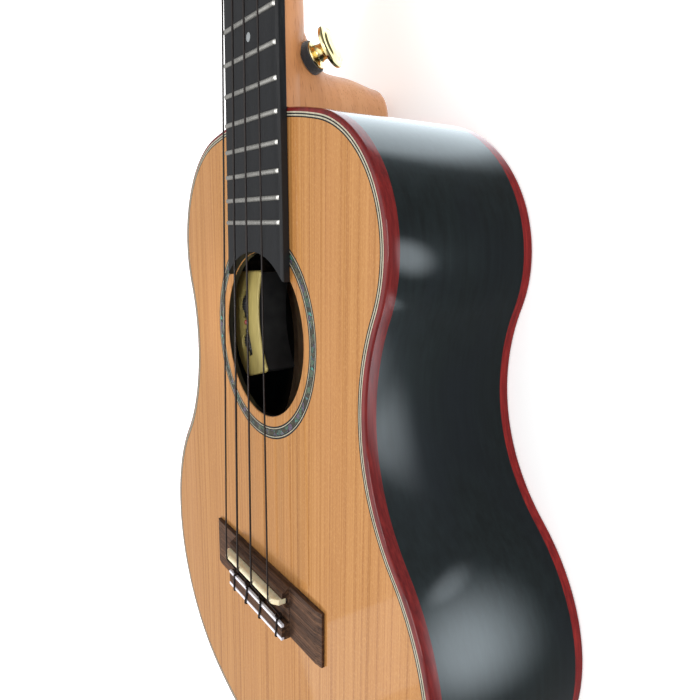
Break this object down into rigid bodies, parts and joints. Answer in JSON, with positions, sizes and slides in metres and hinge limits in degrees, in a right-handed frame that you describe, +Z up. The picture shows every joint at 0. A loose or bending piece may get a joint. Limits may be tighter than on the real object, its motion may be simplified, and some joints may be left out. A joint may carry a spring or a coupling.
{
  "type": "tenor ukulele",
  "caption": "Nylon-strung tenor ukulele with a hollow body, tie bridge, geared tuners, strap button and a soundhole preamp with an end jack.",
  "frame": {"origin": "point of the flat back below the saddle's middle, on the instrument's centre plane", "axes": "+X treble side, +Y along the back towards the headstock, +Z up out of the flat back towards the soundboard"},
  "size_m": [0.226, 0.6824, 0.0858],
  "materials": {
    "cedar": "clear gloss lacquer over fine straight grain",
    "side_lacquer": "black wood under deep gloss lacquer",
    "red_binding": "deep red, polished",
    "purfling": "black and ivory lines, polished flush",
    "shell": "shell between black and white lines, polished",
    "inner_wood": "bare, sanded",
    "mahogany": "satin, open pored",
    "ebony": "satin, oiled",
    "nickel": "polished nickel silver",
    "bone": "polished bone",
    "rosewood": "satin, open pored",
    "white_strip": "white, polished",
    "pickup": "plain",
    "gold": "gold plated, polished",
    "steel": "turned",
    "felt": "black, matte",
    "preamp_gold": "satin metallic gold",
    "black_plastic": "matte, ribbed",
    "string": "smooth monofilament"
  },
  "bodies": {
    "ukulele": {"soundboard": "cedar", "back": "side_lacquer", "side_bass": "side_lacquer", "side_treble": "side_lacquer", "end_graft": "side_lacquer", "binding_front": "red_binding", "binding_back": "red_binding", "purfling_front": "purfling", "rosette": "shell", "neck_block": "inner_wood", "tail_block": "inner_wood", "lining_front": "inner_wood", "lining_back": "inner_wood", "top_braces": "inner_wood", "back_braces": "inner_wood", "bridge_plate": "inner_wood", "neck": "mahogany", "fretboard": "ebony", "frets": "nickel", "position_dots": "shell", "nut": "bone", "headstock_overlay": "ebony", "bridge": "rosewood", "saddle": "bone", "tie_block_strips": "white_strip", "piezo_pickup": "pickup", "strap_button": "gold", "strap_button_washer": "felt", "strap_button_screw": "nickel", "preamp_housing": "preamp_gold", "output_jack": "gold", "jack_nut": "nickel", "tuner_bushings": "gold", "tuner_screws": "nickel", "string_1": "string", "string_2": "string", "string_3": "string", "string_4": "string", "tuner_1_housing": "gold", "tuner_2_housing": "gold", "tuner_3_housing": "gold", "tuner_4_housing": "gold"},
    "tuner_1_knob": {"tuner_1_worm": "steel", "tuner_1_button": "gold"},
    "tuner_1_spindle": {"tuner_1_post": "gold", "string_1_coil": "string"},
    "tuner_2_knob": {"tuner_2_worm": "steel", "tuner_2_button": "gold"},
    "tuner_2_spindle": {"tuner_2_post": "gold", "string_2_coil": "string"},
    "tuner_3_knob": {"tuner_3_worm": "steel", "tuner_3_button": "gold"},
    "tuner_3_spindle": {"tuner_3_post": "gold", "string_3_coil": "string"},
    "tuner_4_knob": {"tuner_4_worm": "steel", "tuner_4_button": "gold"},
    "tuner_4_spindle": {"tuner_4_post": "gold", "string_4_coil": "string"},
    "volume_wheel": {"volume_roller": "black_plastic"},
    "tone_wheel": {"tone_roller": "black_plastic"}
  },
  "joints": [
    {"name": "tuner_1_turn", "type": "hinge", "parent": "ukulele", "child": "tuner_1_knob", "pos_m": [-0.018, 0.4643, 0.02768], "axis": [-1, 0, 0], "continuous": true},
    {"name": "tuner_1_wind", "type": "hinge", "parent": "ukulele", "child": "tuner_1_spindle", "pos_m": [-0.018, 0.47602, 0.04219], "axis": [0, 0.2164, 0.9763], "continuous": true},
    {"name": "tuner_2_turn", "type": "hinge", "parent": "ukulele", "child": "tuner_2_knob", "pos_m": [-0.018, 0.51312, 0.01686], "axis": [-1, 0, 0], "continuous": true},
    {"name": "tuner_2_wind", "type": "hinge", "parent": "ukulele", "child": "tuner_2_spindle", "pos_m": [-0.018, 0.52484, 0.03136], "axis": [0, 0.2164, 0.9763], "continuous": true},
    {"name": "tuner_3_turn", "type": "hinge", "parent": "ukulele", "child": "tuner_3_knob", "pos_m": [0.018, 0.51312, 0.01686], "axis": [1, 0, 0], "continuous": true},
    {"name": "tuner_3_wind", "type": "hinge", "parent": "ukulele", "child": "tuner_3_spindle", "pos_m": [0.018, 0.52484, 0.03136], "axis": [0, 0.2164, 0.9763], "continuous": true},
    {"name": "tuner_4_turn", "type": "hinge", "parent": "ukulele", "child": "tuner_4_knob", "pos_m": [0.018, 0.4643, 0.02768], "axis": [1, 0, 0], "continuous": true},
    {"name": "tuner_4_wind", "type": "hinge", "parent": "ukulele", "child": "tuner_4_spindle", "pos_m": [0.018, 0.47602, 0.04219], "axis": [0, 0.2164, 0.9763], "continuous": true},
    {"name": "volume_turn", "type": "hinge", "parent": "ukulele", "child": "volume_wheel", "pos_m": [-0.03222, 0.11913, 0.05473], "axis": [-0.9925, 0.1216, -0.0074], "range_deg": [-135, 135]},
    {"name": "tone_turn", "type": "hinge", "parent": "ukulele", "child": "tone_wheel", "pos_m": [-0.03024, 0.10177, 0.05579], "axis": [-0.9397, -0.3414, 0.0209], "range_deg": [-135, 135]}
  ],
  "couplings": [
    {"joint": "tuner_1_wind", "follows": "tuner_1_turn", "ratio": 0.071429},
    {"joint": "tuner_2_wind", "follows": "tuner_2_turn", "ratio": 0.071429},
    {"joint": "tuner_3_wind", "follows": "tuner_3_turn", "ratio": -0.071429},
    {"joint": "tuner_4_wind", "follows": "tuner_4_turn", "ratio": -0.071429}
  ]
}
